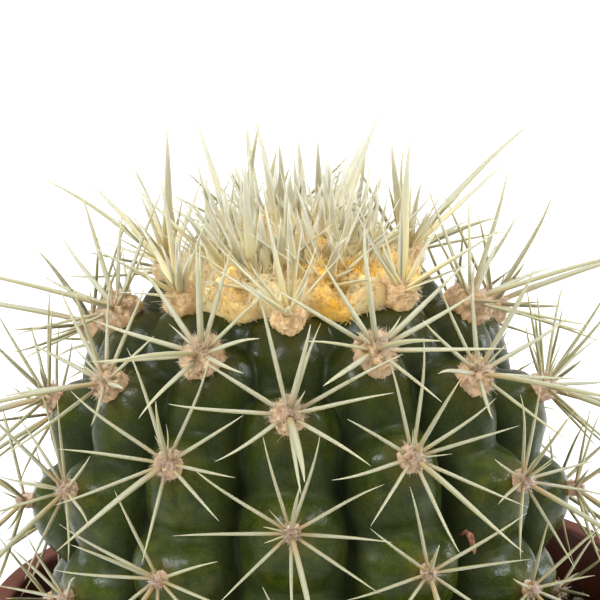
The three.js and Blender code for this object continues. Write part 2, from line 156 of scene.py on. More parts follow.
# ---- surfaces ----
class Shape:
    """Closed surfaces that make up one piece: points in mm, faces, and values for the material."""

    def __init__(self):
        self.points, self.faces, self.values = [], [], []
        self.count = 0

    def add(self, points, faces, slot=0, **values):
        points = points.reshape(-1, 3)
        for face in faces:
            self.faces.append((face + self.count, slot))
        self.points.append(points)
        self.values.append((len(points), values))
        self.count += len(points)

    def piece(self, name, materials, slot, node):
        mesh = bpy.data.meshes.new(name)
        points = np.concatenate(self.points) * MM
        mesh.vertices.add(len(points))
        mesh.vertices.foreach_set("co", points.astype(np.float32).ravel())
        loops = np.concatenate([f.ravel() for f, _ in self.faces])
        sizes = np.concatenate([np.full(len(f), f.shape[1]) for f, _ in self.faces])
        slots = np.concatenate([np.full(len(f), s) for f, s in self.faces])
        mesh.loops.add(len(loops))
        mesh.loops.foreach_set("vertex_index", loops.astype(np.int32))
        mesh.polygons.add(len(sizes))
        mesh.polygons.foreach_set("loop_start", (np.cumsum(sizes) - sizes).astype(np.int32))
        mesh.polygons.foreach_set("material_index", slots.astype(np.int32))
        mesh.polygons.foreach_set("use_smooth", np.ones(len(sizes), bool))
        for key in sorted({k for _, values in self.values for k in values}):
            data = [np.broadcast_to(np.ravel(v.get(key, 0)), n) for n, v in self.values]
            layer = mesh.attributes.new(key, "FLOAT", "POINT")
            layer.data.foreach_set("value", np.concatenate(data).astype(np.float32))
        for material in materials:
            mesh.materials.append(material)
        mesh.update(calc_edges=True)
        mesh.validate()
        piece = add_object(name, mesh)
        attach(piece, "root")
        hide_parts(node)
        return piece


def with_ends(points, ends):
    """Rings of points in one list, followed by their two end points."""
    return np.concatenate([points.reshape(-1, 3), ends])


def tube_faces(rings, sides, start=0):
    """Faces of a closed tube: quads between its rings, and triangles to the two end points after them. The
    first ring's end point is the one numbered start, 0 or 1."""
    r, c = np.meshgrid(np.arange(rings - 1), np.arange(sides), indexing="ij")
    a = r * sides + c
    b = r * sides + (c + 1) % sides
    quads = np.stack([a, b, b + sides, a + sides], -1).reshape(-1, 4)
    first = np.arange(sides)
    after = (first + 1) % sides
    last = (rings - 1) * sides
    start_point = np.full(sides, rings * sides + start)
    stop_point = np.full(sides, rings * sides + 1 - start)
    return [
        quads,
        np.stack([start_point, after, first], -1),
        np.stack([stop_point, last + first, last + after], -1),
    ]


def repeated(faces, count, size):
    """The faces of one form, again for each of count forms of this many points."""
    step = (np.arange(count) * size)[:, None, None]
    return [(face[None] + step).reshape(-1, face.shape[-1]) for face in faces]


def revolved(shape, profile, sides, bump=None, **values):
    """A closed turned surface. The profile starts and ends on the axis, with the outside on its right."""
    profile = np.array(profile, float)
    ring = profile[1:-1]
    points = polar(ring[:, :1], round_angles(sides), ring[:, 1:])
    if bump:
        points = bump(points)
    ends = [[0, 0, profile[0, 1]], [0, 0, profile[-1, 1]]]
    shape.add(with_ends(points, ends), tube_faces(len(ring), sides), **values)


def strands(shape, lines, wide, thin, across, sides, slot=0, **values):
    """Closed strands along lines (n, rings, 3), with half widths: wide lies across, thin square to that."""
    n, rings, _ = lines.shape
    along = unit(np.gradient(lines, axis=1))
    across = unit(across - (across * along).sum(-1, keepdims=True) * along)
    other = np.cross(along, across)
    phi = round_angles(sides)
    ring = lines[:, :, None] + across[:, :, None] * (wide[:, :, None] * np.cos(phi))[..., None]
    ring = ring + other[:, :, None] * (thin[:, :, None] * np.sin(phi))[..., None]
    tip = lines[:, -1] + along[:, -1] * wide[:, -1, None]
    points = np.concatenate([ring.reshape(n, -1, 3), lines[:, :1], tip[:, None]], 1)
    size = rings * sides + 2
    part = np.repeat(np.linspace(0, 1, rings), sides)
    part = np.tile(np.concatenate([part, [0, 1]]), n)
    around = np.tile(np.concatenate([np.tile(np.cos(phi), rings), [0, 0]]), n)
    values = {k: np.repeat(v, size) if np.ndim(v) else v for k, v in values.items()}
    tone = np.repeat(rng.random(n), size)
    values |= {"part": part, "around": around, "edge": np.abs(around), "tone": tone}
    shape.add(points, repeated(tube_faces(rings, sides), n, size), slot, **values)


# ---- outline of the plant ----
def make_outline():
    """The radii and heights of the outline that the tubercles' tips touch, and the lengths along it."""
    t = np.radians(np.arange(-80, 90.01, 0.5))
    c = np.maximum(np.cos(t), 0)
    s = np.sin(np.abs(t))
    z = np.where(t < 0, -BODY_DOWN * s, BODY_UP * s ** (2 / SHOULDER))
    r = BODY_R * np.where(t < 0, c, c ** (2 / SHOULDER))
    length = np.concatenate([[0], np.cumsum(np.hypot(np.diff(r), np.diff(z)))])
    return r, z, length - length[np.argmax(z >= 0)]


OUTLINE_R, OUTLINE_Z, OUTLINE_LENGTH = make_outline()
OUTLINE_TOP = OUTLINE_LENGTH[-1]


def outline_at(length):
    """The outline's radius, height over the equator and outward normal at lengths along it."""
    i = np.clip(np.searchsorted(OUTLINE_LENGTH, length, side="right"), 1, len(OUTLINE_LENGTH) - 1)
    f = np.clip((length - OUTLINE_LENGTH[i - 1]) / (OUTLINE_LENGTH[i] - OUTLINE_LENGTH[i - 1]), 0, 1)
    dr, dz = OUTLINE_R[i] - OUTLINE_R[i - 1], OUTLINE_Z[i] - OUTLINE_Z[i - 1]
    size = np.hypot(dr, dz)
    radius = lerp(OUTLINE_R[i - 1], OUTLINE_R[i], f)
    height = lerp(OUTLINE_Z[i - 1], OUTLINE_Z[i], f)
    return radius, height, dz / size, -dr / size


def plant_point(angle, length, lift):
    """Points at angles round the plant and lengths along its outline, lifted out along its normal."""
    r, z, nr, nz = outline_at(length)
    return polar(r + nr * lift, angle, EQUATOR_Z + z + nz * lift) + (PLANT_X, 0, 0)


def plant_normal(angle, length):
    _, _, nr, nz = outline_at(length)
    return polar(nr, angle, nz)


# ---- ribs and areoles ----
HALF_RIBS = (RIBS - 1) // 2


def rib_origin(rib):
    """The height of one of the rib's areoles above the equator, in steps."""
    height = ROW_ORIGIN - RIB_SHIFT * abs(rib)
    return height + RIGHT_DRIFT * max(rib - BACK_FROM, 0) + LEFT_DRIFT * min(rib + BACK_FROM, 0)


def rib_angle(rib):
    return FRONT_RIB + 2 * math.pi * rib / RIBS


def crown_dip(length):
    """How far the body lies under its outline, at lengths where the wool covers it."""
    return CROWN_SUNK * smoothstep(length, CROWN_FROM, CROWN_TO)


class Areole:
    """A felt pad's place, u steps up its rib, with its size and the directions round it."""

    def __init__(self, rib, u, row):
        angle = rib_angle(rib)
        length = STEP * u
        self.name = f"rib{rib + RIBS + 1 if rib < 0 else rib + 1:02d}_row{row}"
        self.in_crown = u > CROWN_ROW
        self.normal = plant_normal(angle, length)
        self.right = np.array([-math.sin(angle), math.cos(angle), 0])
        self.up = np.cross(self.normal, self.right)
        self.age = float(np.clip((CROWN_ROW - u) / (CROWN_ROW - LOWEST_ROW), 0, 1))
        self.radius = max(YOUNG_PAD_R - PAD_SHRINKS * self.age, LEAST_PAD_R)
        self.height = lerp(YOUNG_PAD_HEIGHT, OLD_PAD_HEIGHT, self.age)
        self.pad = plant_point(angle, length, SEAT_GAP - crown_dip(length - self.radius))
        self.root = self.pad + self.normal * ROOT_HEIGHT * self.height


def make_areoles():
    """The areoles of every rib, from its lowest row up."""
    found = []
    for rib in range(-HALF_RIBS, HALF_RIBS + 1):
        u = rib_origin(rib) + math.ceil(LOWEST_ROW - rib_origin(rib))
        row = 1
        while u < HIGHEST_ROW:
            found.append(Areole(rib, u, row))
            u += 1
            row += 1
    return found


areoles = make_areoles()
body_areoles = [a for a in areoles if not a.in_crown]
crown_areoles = [a for a in areoles if a.in_crown]

# ---- body ----
RIB_REACH = 2.2 * math.pi / RIBS  # how far to either side a rib's lobes reach
OVER_POWER = 2  # how a tubercle rounds off, above its areole
UNDER_POWER = 1.8
RIDGE_POWER = 2.3  # and to its sides
CREASE_SOFT = 0.6  # of the creases' depth, where they are rounded
CREASE_FADES = 0.3  # of its depth, from its middle to the groove
CREASE_FADES_FROM = 0.2
GROOVE_SOFT = 0.9
SLIT_DEPTH = 1.2  # of the narrow bottom of a groove
SLIT_FROM = 0.84  # of the way from the ridge to the groove
COLUMNS_PER_RIB = 36
BODY_ROWS = 200
BODY_TO = 71.5  # along the outline, under the wool
COLLAR_FOOT_R = 0.7 * COLLAR_R
COLLAR_FOOT_HEIGHT = 3
SKIN_RIPPLES = ((0.28, 6), (0.1, 2.4))
SKIN_SEED = 11
RIPPLES_FROM = 1.2  # the depth at which they have their full height
PAD_MARGIN = 1


def soft_min(a, b, k):
    """The lower of two values, rounded where they are closer than k."""
    h = np.clip(0.5 + 0.5 * (b - a) / k, 0, 1)
    return lerp(b, a, h) - k * h * (1 - h)


def skin_depth(angle, length):
    """How far the skin lies under the outline. Each tubercle is a lobe, and they meet in rounded creases."""
    radius = outline_at(length)[0]
    groove = GROOVE_DEPTH * lerp(EQUATOR_GROOVE, 1, smoothstep(length, *GROOVE_DEEPENS))
    depth = np.full(angle.shape, FAR)
    for rib in range(-HALF_RIBS, HALF_RIBS + 1):
        turn = (angle - rib_angle(rib) + math.pi) % (2 * math.pi) - math.pi
        aside = np.abs(radius * turn / GROOVE_HALF)
        above = (length / STEP - rib_origin(rib)) % 1
        over = (above / CREASE_AT) ** OVER_POWER
        under = ((1 - above) / (1 - CREASE_AT)) ** UNDER_POWER
        crease = CREASE_DEPTH * soft_min(over, under, CREASE_SOFT)
        lobe = groove * aside**RIDGE_POWER
        lobe = lobe + crease * (1 - CREASE_FADES * smoothstep(aside, CREASE_FADES_FROM, 1))
        lobe = lobe + SLIT_DEPTH * smoothstep(aside, SLIT_FROM, 1)
        depth = np.where(np.abs(turn) < RIB_REACH, soft_min(depth, lobe, GROOVE_SOFT), depth)
    low = lerp(1, FADED_RIBS, smoothstep(-length, *RIBS_FADE))
    return lerp(depth * low, CROWN_SUNK, crown_dip(length) / CROWN_SUNK)


def make_body():
    columns = RIBS * COLUMNS_PER_RIB
    soil_length = OUTLINE_LENGTH[np.argmax(OUTLINE_Z > SOIL_TOP - EQUATOR_Z)]
    angle = FRONT_RIB + round_angles(columns)
    angles, lengths = np.meshgrid(angle, np.linspace(soil_length, BODY_TO, BODY_ROWS))
    depth = skin_depth(angles, lengths)
    points = plant_point(angles, lengths, -depth)
    ripples = lumps(points, SKIN_RIPPLES, SKIN_SEED) * smoothstep(depth, 0, RIPPLES_FROM)
    points = points + plant_normal(angles, lengths) * ripples[..., None]
    low = SOIL_TOP - COLLAR_DEPTH
    collar = np.array([polar(COLLAR_FOOT_R, angle, low), polar(COLLAR_R, angle, low + COLLAR_FOOT_HEIGHT)])
    points = np.concatenate([collar + (PLANT_X, 0, 0), points])
    every = with_ends(points, [[PLANT_X, 0, low], plant_point(0, OUTLINE_TOP, -CROWN_SUNK)])
    groove = np.concatenate([np.zeros(2 * columns), depth.ravel(), [0, 0]]) / GROOVE_DEPTH
    near = np.full(len(every), FAR)  # the nearest pad, in times its radius
    for areole in areoles:
        away = np.linalg.norm(every - areole.pad, axis=1)
        near = np.minimum(near, away / (areole.radius + PAD_MARGIN))
    shape = Shape()
    shape.add(every, tube_faces(len(points), columns), groove=groove, near=near)
    make_scar(shape)
    shape.piece("skin", [skin_material(), scar_material()], "cactus_skin", "cactus_body")


# A small corky scar on a rib's side: its way, in ribs from the front one and mm up the outline.
SCAR_LINE = ((1.545, 6.8), (1.572, 7.4), (1.597, 6.6), (1.615, 5.2), (1.632, 3.8), (1.65, 2.7))
SCAR_WIDE = (0.3, 0.5, 0.62, 0.5, 0.6, 0.25)
SCAR_THIN = 0.8  # of its width
SCAR_LIFT = 0.25
SCAR_ACROSS = (1.0, 0.4, 0.3)
SCAR_SIDES = 12


def make_scar(shape):
    ribs, length = np.array(SCAR_LINE).T
    angle = rib_angle(ribs)
    line = plant_point(angle, length, SCAR_LIFT - skin_depth(angle, length))[None]
    wide = np.array(SCAR_WIDE)[None]
    across = np.broadcast_to(SCAR_ACROSS, line.shape)
    strands(shape, line, wide, wide * SCAR_THIN, across, SCAR_SIDES, 1)


# ---- spines ----
NEEDLE_SHARPNESS = 0.97  # least cosine between the edges that meet in a needle's tip
LEAST_NEEDLE = 4
WELD_DIGITS = 2  # points that agree to so many are one
BEND_TOLERANCE = 0.06  # how far off its middle a bent needle's ring may lie, of its length
SPINE_RINGS = 13
SPINE_SIDES = 8
SPINE_WIDE = 0.72  # half width, as a part of the needle's thickness
SPINE_THIN = 0.62
YOUNG_SPINE_WIDE = 1.6  # over SPINE_WIDE
OLD_SPINE_WIDE = 0.95
WIDE_UNTIL = 0.4  # from this age they have the old width
SPINE_END = 0.985  # where the last ring lies
SPINE_HOLD = 2.6  # a higher power keeps the width for longer
SPINE_POINT = 0.9
SPINE_NECK = 0.78  # of the width, at the root
NECK_TO = 0.3  # of the length
SPINE_SWAY = 0.025
SPINE_TWIST = 0.25
# Short fine spines besides the needles: how many, their length and thickness, and in degrees their turns
# from straight up and their rises from the skin.
BRISTLES = (3, 9, 0.26, (-100, 100), (30, 65))
BRISTLES_UNTIL = 0.6
LENGTHS_VARY = (0.7, 1.2)
THICKNESSES_VARY = (0.8, 1.2)


def needles(node, roots):
    """The needles of a CAD node, read from its mesh: rows of root, bend, tip and thickness. The bend is the
    middle point of a quadratic curve. A needle's root is the one of roots that its axis runs through."""
    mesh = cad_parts[node].data
    points = np.array([v.co for v in mesh.vertices]) * 1000
    rounded = np.round(points, WELD_DIGITS)
    _, keep, same = np.unique(rounded, axis=0, return_index=True, return_inverse=True)
    points, same = points[keep], same.ravel()
    neighbours = [set() for _ in points]
    for polygon in mesh.polygons:
        corners = [int(same[v]) for v in polygon.vertices]
        for corner in corners:
            neighbours[corner].update(c for c in corners if c != corner)
    rows = []
    for tip, near in zip(points, neighbours):
        steps = points[sorted(near)] - tip
        reach = np.linalg.norm(steps, axis=1)
        ways = unit(steps)
        if reach.max() < LEAST_NEEDLE or (ways @ ways.T).min() < NEEDLE_SHARPNESS:
            continue
        axis = unit(ways.mean(0))
        offset = roots - tip
        beside = offset - np.outer(offset @ axis, axis)
        root = roots[np.argmin(np.linalg.norm(beside, axis=1))]
        length = np.linalg.norm(root - tip)
        middle = (root + tip) / 2
        if len(near) == 3 and abs(reach.mean() / length - 0.5) < BEND_TOLERANCE:
            middle = tip + steps.mean(0)
        axis = unit(middle - tip)
        aside = np.linalg.norm(steps - np.outer(steps @ axis, axis), axis=1)
        rows.append((root, 2 * middle - (root + tip) / 2, tip, (aside / reach).max() * length))
    return rows


def grow_spines(shape, rows, normal, wider, flat=SPINE_THIN, hold=SPINE_HOLD, neck=SPINE_NECK, **values):
    """Flattened spines along the needles' curves."""
    root, bend, tip = (np.array([row[i] for row in rows]) for i in range(3))
    thickness = np.array([row[3] for row in rows])
    t = np.linspace(0, SPINE_END, SPINE_RINGS)
    curve = root[:, None] * ((1 - t) ** 2)[:, None]
    curve = curve + bend[:, None] * (2 * t * (1 - t))[:, None] + tip[:, None] * (t * t)[:, None]
    length = np.linalg.norm(tip - root, axis=1)
    sway = rng.normal(size=root.shape) * (SPINE_SWAY * length)[:, None]
    curve = curve + sway[:, None] * (4 * t * t * (1 - t))[:, None]
    width = lerp(neck, 1, smoothstep(t, 0, NECK_TO)) * (1 - t**hold) ** SPINE_POINT
    across = np.cross(unit(tip - root), normal)
    across = unit(across) + rng.normal(size=across.shape) * SPINE_TWIST
    across = np.broadcast_to(across[:, None], curve.shape)
    wide = thickness[:, None] * SPINE_WIDE * wider * width
    thin = thickness[:, None] * flat * width
    strands(shape, curve, wide, thin, across, SPINE_SIDES, **values)


def bristles(areole, count, long, thick, turns, rises):
    """Rows for extra spines, such as needles gives."""
    rows = []
    for _ in range(count):
        turn = math.radians(rng.uniform(*turns))
        rise = math.radians(rng.uniform(*rises))
        aim = (areole.up * math.cos(turn) + areole.right * math.sin(turn)) * math.cos(rise)
        aim = aim + areole.normal * math.sin(rise)
        tip = areole.root + aim * long * rng.uniform(*LENGTHS_VARY)
        rows.append((areole.root, (areole.root + tip) / 2, tip, thick * rng.uniform(*THICKNESSES_VARY)))
    return rows


def make_sprays():
    materials = [spine_material(), felt_material()]
    for areole in body_areoles:
        shape = Shape()
        rows = needles("areole_" + areole.name, areole.root[None])
        if areole.age < BRISTLES_UNTIL:
            rows += bristles(areole, *BRISTLES)
        wider = lerp(YOUNG_SPINE_WIDE, OLD_SPINE_WIDE, min(1, areole.age / WIDE_UNTIL))
        grow_spines(shape, rows, areole.normal, wider, age=areole.age)
        felt_pad(shape, areole, 1)
        shape.piece("spray_" + areole.name, materials, "spines_and_felt", "areole_" + areole.name)


# ---- felt pads ----
PAD_RINGS = 36
PAD_SIDES = 90
PAD_SUNK = 1.4  # how far its edge reaches under the tubercle's tip
PAD_FULL = 0.85  # of the solid's dome
PAD_DOME = 3  # a higher power makes it flatter on top
PAD_SLIM = 0.84
PAD_LONG = 1.15  # up and down its rib, over its width
OLD_PAD_SLIM = 0.8  # of that, for the oldest
CROWN_PAD_SLIM = 0.66  # of that, where it merges with the wool
PAD_LUMPS = ((0.4, 2.2), (0.3, 1), (0.2, 0.45))
LUMPY_PAD_R = 3.5  # smaller pads have lower lumps
PAD_SEED = 31
PAD_GRAIN = 0.05
LEAST_HAIRS = 300
MOST_HAIRS = 5000
FELT_LENGTH = (0.22, 0.55)
SMALL_PAD_HAIR = 0.7  # of that length
FELT_THICKNESS = (0.04, 0.08)
FELT_WAY = (0.8, 0.7)  # how much its hairs point outward, and at random
FELT_ROOTED = (0.12, 0.1)  # how deep, and how scattered
FELT_CURL = 1.1
HAIR_RINGS = 3
HAIR_SIDES = 3
HAIR_TAPER = 0.75
CROWN_AGE = -1  # tells the material that a pad is in the crown


def hair_ways(outward, straight, astray):
    return unit(straight * outward + astray * rng.normal(size=outward.shape))


def hair_roots(points, outward, deep, scatter):
    return points - deep * outward + rng.normal(size=points.shape) * scatter


def hairs(shape, roots, ways, length, thickness, curl, slot=0, rings=HAIR_RINGS, **values):
    """Curled woolly hairs from roots in the given directions."""
    count = len(roots)
    t = np.linspace(0, 1, rings)
    bend = rng.normal(size=(count, 3)) * (curl * length)[:, None]
    lines = roots[:, None] + ways[:, None] * (length[:, None] * t)[..., None]
    lines = lines + bend[:, None] * (t * t)[:, None]
    width = thickness[:, None] * (1 - HAIR_TAPER * t)
    across = np.broadcast_to(rng.normal(size=(count, 3))[:, None], lines.shape)
    strands(shape, lines, width, width, across, HAIR_SIDES, slot, **values)


def felt_pad(shape, areole, slot):
    """A lumpy dome of felt with short curled hairs on it."""
    slim = CROWN_PAD_SLIM if areole.in_crown else lerp(1, OLD_PAD_SLIM, areole.age)
    radius, height = areole.radius * PAD_SLIM * slim, areole.height * PAD_FULL
    part = np.sin(np.linspace(math.pi / 2, 0, PAD_RINGS))[:-1]
    phi = round_angles(PAD_SIDES)
    flat_x = np.outer(part, np.cos(phi)) * radius
    flat_y = np.outer(part, np.sin(phi)) * radius * PAD_LONG
    lift = np.outer(height * (1 - part**PAD_DOME) ** 0.5, np.ones(PAD_SIDES))
    lift[0] -= PAD_SUNK
    points = areole.pad + flat_x[..., None] * areole.right + flat_y[..., None] * areole.up
    points = points + lift[..., None] * areole.normal
    ends = [areole.pad + height * areole.normal, areole.pad - PAD_SUNK * areole.normal]
    every = with_ends(points, ends)
    outward = unit(every - areole.pad)
    high = lumps(every, PAD_LUMPS, PAD_SEED) * min(1, radius / LUMPY_PAD_R)
    every = every + outward * (high + PAD_GRAIN * rng.normal(size=len(every)))[:, None]
    age = CROWN_AGE if areole.in_crown else areole.age
    shape.add(every, tube_faces(len(part), PAD_SIDES, 1), slot, age=age, tone=0.5)
    count = int(lerp(LEAST_HAIRS, MOST_HAIRS, (radius / YOUNG_PAD_R) ** 2))
    spot = rng.integers(0, len(every) - 2, count)
    ways = hair_ways(outward[spot], *FELT_WAY)
    length = rng.uniform(*FELT_LENGTH, count) * lerp(SMALL_PAD_HAIR, 1, radius / YOUNG_PAD_R)
    thickness = rng.uniform(*FELT_THICKNESS, count)
    roots = hair_roots(every[spot], outward[spot], *FELT_ROOTED)
    hairs(shape, roots, ways, length, thickness, FELT_CURL, slot, age=age)


# ---- crown ----
WOOL_RINGS = 80
WOOL_RIM = 0.12  # the part of its rings that make its rounded rim
WOOL_SIDES = 180
WOOL_EDGE = CROWN_EDGE - 0.5
WOOL_HANGS = 2.4  # how much lower its edge lies on a rib than in a groove
WOOL_RAGGED = ((0.8, 5),)  # the waves in its edge
WOOL_RAGGED_SEED = 44
WOOL_CLOSED = OUTLINE_TOP - 0.4  # where its last ring lies
WOOL_SPREAD = 1.3  # a higher power puts more rings near the rim
WOOL_UNDER = 1  # how far it reaches into the body
WOOL_SUNK = CROWN_SUNK + 3  # and its middle under the outline
WOOL_LUMPS = ((1.1, 3.6), (0.55, 1.7), (0.25, 0.8))
WOOL_SEED = 41
WOOL_HAIRS = 10500
WOOL_HAIR_LENGTH = (0.5, 1.4)
WOOL_HAIR_THICKNESS = (0.07, 0.13)
WOOL_HAIR_WAY = (0.7, 0.9)
WOOL_HAIR_ROOTED = (0.3, 0.3)
WOOL_HAIR_CURL = 0.9
TUFTS = 4000  # longer hairs, between the spines
TUFT_RINGS = 5
TUFT_LENGTH = (1.5, 4.5)
TUFT_THICKNESS = (0.05, 0.1)
TUFT_WAY = (1, 0.4)
TUFT_CURL = 0.35
EDGE_TUFT = 0.3  # of that length, at the wool's edge
TUFTS_FULL = CROWN_EDGE + 6  # from here in they have their full length
TUFT_GOLD = 0.15
GOLD_SPOTS = (  # x and y from the pot's axis, and how golden
    (3, -14, 1),
    (9, -11, 1),
    (5, -20.5, 1),
    (3, -18, 0.7),
    (-1, -13, 0.6),
    (15, -4, 0.7),
    (-12, -11.5, 0.5),
    (-14, -17, 0.4),
    (2, -5, 0.7),
    (-8, 6, 0.5),
    (8, 10, 0.4),
)
GOLD_SIZE = 4
GOLD_FADES = (0.3, 1.3)  # between these parts of its size
GOLDEN_ANGLE = math.radians(137.5)
CENTRE_LEAN = 0.45  # of the outermost of the centre's spines
ALL_ROUND = (-180, 180)
EDGE_SPINES = (7, 15, 0.62, ALL_ROUND, (38, 75))  # in rows like those of BRISTLES
CENTRE_SPINES = 70
CENTRE_SPINE_LONG = (7, 15)
CENTRE_SPINE = (0.8, ALL_ROUND, (38, 82))  # and so on from their thickness
CROWN_SPINE_WIDE = 2  # over a body spine's width
CROWN_SPINE_THIN = 0.6
CROWN_SPINE_HOLD = 1.1
CROWN_SPINE_NECK = 0.6


class CentrePlace:
    """A place on the wool for a single young spine, laid out as the seeds of a sunflower are."""

    def __init__(self, i, count):
        part = math.sqrt((i + 0.5) / count)
        angle = i * GOLDEN_ANGLE
        lean = CENTRE_LEAN * part
        self.normal = unit(np.array([lean * math.cos(angle), lean * math.sin(angle), 1]))
        self.right = np.array([-math.sin(angle), math.cos(angle), 0])
        self.up = np.cross(self.normal, self.right)
        pad = plant_point(angle, OUTLINE_TOP - CROWN_CENTRE_R * part, 0)
        self.root = pad + self.normal * ROOT_HEIGHT * YOUNG_PAD_HEIGHT


def gold_at(points):
    """1 where the wool is still golden, fading to 0 round it."""
    gold = np.zeros(len(points))
    for x, y, golden in GOLD_SPOTS:
        away = np.hypot(points[:, 0] - x, points[:, 1] - y) / GOLD_SIZE
        gold = np.maximum(gold, golden * (1 - smoothstep(away, *GOLD_FADES)))
    return gold


def crown_piece(shape, name, material):
    shape.piece(name, [material], "crown_wool_and_spines", "crown")


def wool_dome():
    """The wool's lumpy dome: points, outward normals, and lengths along the outline."""
    angle = FRONT_RIB + round_angles(WOOL_SIDES)
    angles, parts = np.meshgrid(angle, np.linspace(0, 1, WOOL_RINGS))
    edge = WOOL_EDGE - WOOL_HANGS * np.cos(RIBS * (angles - FRONT_RIB)) / 2
    rim = plant_point(angles, np.full_like(angles, CROWN_EDGE), 0)
    edge = edge + lumps(rim, WOOL_RAGGED, WOOL_RAGGED_SEED)
    lengths = lerp(edge, WOOL_CLOSED, parts**WOOL_SPREAD)
    rise = np.sin(np.minimum(parts / WOOL_RIM, 1) * math.pi / 2)
    top = lerp(1, CROWN_RISE, smoothstep(lengths, CROWN_EDGE, OUTLINE_TOP))
    points = plant_point(angles, lengths, lerp(-crown_dip(lengths) - WOOL_UNDER, top, rise))
    normals = plant_normal(angles, lengths)
    high = lumps(points, WOOL_LUMPS, WOOL_SEED) * rise
    return points + normals * high[..., None], normals.reshape(-1, 3), lengths


def make_wool():
    """The wool in three pieces: its dome, the coat of hairs on it, and tufts of longer hairs."""
    wool = wool_material()
    points, normals, lengths = wool_dome()
    ends = [plant_point(0, OUTLINE_TOP, CROWN_RISE), plant_point(0, OUTLINE_TOP, -WOOL_SUNK)]
    every = with_ends(points, ends)
    dome = Shape()
    dome.add(every, tube_faces(WOOL_RINGS, WOOL_SIDES, 1), tone=0.5, gold=gold_at(every))
    crown_piece(dome, "crown_wool", wool)
    share = outline_at(lengths)[0].ravel()
    share = share / share.sum()

    spot = rng.choice(share.size, WOOL_HAIRS, p=share)
    ways = hair_ways(normals[spot], *WOOL_HAIR_WAY)
    length = rng.uniform(*WOOL_HAIR_LENGTH, WOOL_HAIRS)
    roots = hair_roots(every[spot], normals[spot], *WOOL_HAIR_ROOTED)
    thickness = rng.uniform(*WOOL_HAIR_THICKNESS, WOOL_HAIRS)
    coat = Shape()
    hairs(coat, roots, ways, length, thickness, WOOL_HAIR_CURL, gold=gold_at(roots))
    crown_piece(coat, "crown_wool_hairs", wool)

    spot = rng.choice(share.size, TUFTS, p=share)
    roots = every[spot]
    inner = smoothstep(lengths.ravel()[spot], CROWN_EDGE, TUFTS_FULL)
    ways = hair_ways(normals[spot], *TUFT_WAY)
    length = rng.uniform(*TUFT_LENGTH, TUFTS) * lerp(EDGE_TUFT, 1, inner)
    gold = np.maximum(gold_at(roots), TUFT_GOLD * inner)
    thickness = rng.uniform(*TUFT_THICKNESS, TUFTS)
    tufts = Shape()
    hairs(tufts, roots, ways, length, thickness, TUFT_CURL, rings=TUFT_RINGS, gold=gold, pale=1)
    crown_piece(tufts, "crown_wool_tufts", wool)


def make_crown_spines():
    centre = [CentrePlace(i, CROWN_CENTRE_SPINES) for i in range(CROWN_CENTRE_SPINES)]
    rows = needles("crown", np.array([place.root for place in crown_areoles + centre]))
    for areole in crown_areoles:
        rows += bristles(areole, *EDGE_SPINES)
    for i in range(CENTRE_SPINES):
        long = rng.uniform(*CENTRE_SPINE_LONG)
        rows += bristles(CentrePlace(i, CENTRE_SPINES), 1, long, *CENTRE_SPINE)
    spines = Shape()
    form = {"flat": CROWN_SPINE_THIN, "hold": CROWN_SPINE_HOLD, "neck": CROWN_SPINE_NECK}
    grow_spines(spines, rows, np.array([0, 0, 1]), CROWN_SPINE_WIDE, **form)
    crown_piece(spines, "crown_spines", young_spine_material())


def make_crown():
    make_crown_spines()
    make_wool()
    felt = felt_material()
    for areole in crown_areoles:
        pad = Shape()
        felt_pad(pad, areole, 0)
        crown_piece(pad, "crown_pad_" + areole.name, felt)


# ---- soil ----
PEAT_SIDES = 260
PEAT_WALL_ROWS = 20
PEAT_TOP_ROWS = 48
PEAT_GAP = 0.15  # between the peat and the pot's wall
PEAT_BASE = POT_WALL + 0.2
PEAT_CORNER = 1.6  # how far its lower corner is cut back
PEAT_SHOULDER = 0.6  # and its upper one
PEAT_MOUND = 0.9  # of its surface towards the plant
MOUND_R = 54  # from here in
MOUND_RUN = 12
SURFACE_TO_R = 35  # where it ends, under the plant
HOLE_R = 30  # the mouth of the hole for the root collar
HOLE_DEPTH = 3
COLLAR_ROOM = 2  # round the collar
COLLAR_GAP = 0.5  # under it
PEAT_LUMPS = ((0.9, 4), (0.55, 1.7), (0.3, 0.8))
PEAT_SEED = 51
ROUGH_FROM = SOIL_TOP - 1.5  # its lumps grow between these heights
ROUGH_TO = SOIL_TOP - 0.3
SOIL_RING = (34, 54)  # radii between which crumbs and fibres lie
LITTER_LIFT = 0.6
CRUMBS = 900
CRUMB_RINGS = 5
CRUMB_SIDES = 7
CRUMB_SIZE = 1.7
CRUMB_SIZES_VARY = (0.35, 1)  # before they are squared
CRUMB_STRETCH = (0.6, 1.2)
CRUMB_DENTS = 0.25
FIBRES = 260
FIBRE_LENGTH = (2, 7)
FIBRE_THICKNESS = (0.08, 0.22)
FIBRE_STEEPNESS = 0.12
FIBRE_CURL = 0.25


def pot_outside(z):
    return lerp(POT_BASE_R, POT_RIM_R - POT_LIP, z / POT_HEIGHT)


def pot_inside(z):
    return pot_outside(z) - POT_WALL


def rough_top(points):
    """Lumps on the peat's surface, and none on its sides."""
    on_top = smoothstep(points[..., 2], ROUGH_FROM, ROUGH_TO)
    points[..., 2] += lumps(points, PEAT_LUMPS, PEAT_SEED) * on_top
    return points


